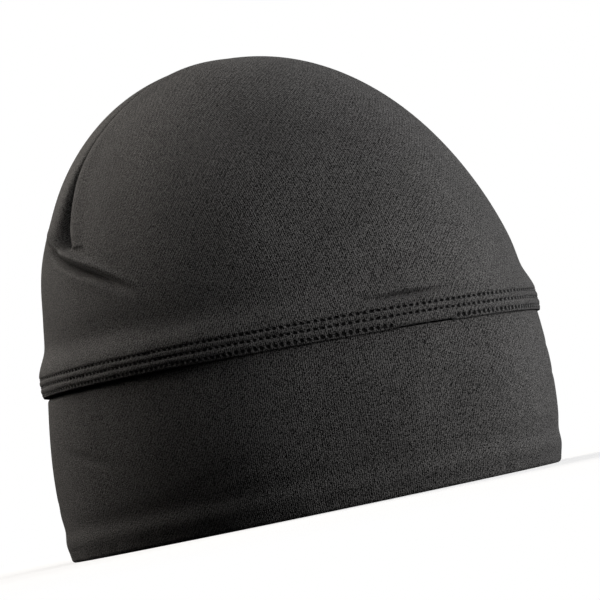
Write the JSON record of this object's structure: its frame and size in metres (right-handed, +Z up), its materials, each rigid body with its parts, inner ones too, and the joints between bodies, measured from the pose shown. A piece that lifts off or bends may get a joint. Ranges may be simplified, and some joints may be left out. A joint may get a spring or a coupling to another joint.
{
  "type": "winter cap",
  "caption": "Close-fitting pull-on cap of thin stretch jersey, with a domed crown, a seam over it from ear to ear, and a deep doubled band under a stitched welt.",
  "frame": {"origin": "on the plane that the rim rests on, under the middle of the whole cap", "axes": "+Z up through the crown, -Y towards the wearer's face, +X towards the wearer's left ear"},
  "size_m": [0.1618, 0.1994, 0.1616],
  "materials": {
    "crown_cloth": "black stretch jersey, soft sheen",
    "band_cloth": "black stretch jersey, doubled, soft sheen"
  },
  "bodies": {
    "root": {"crown": "crown_cloth", "band": "band_cloth"}
  },
  "joints": []
}
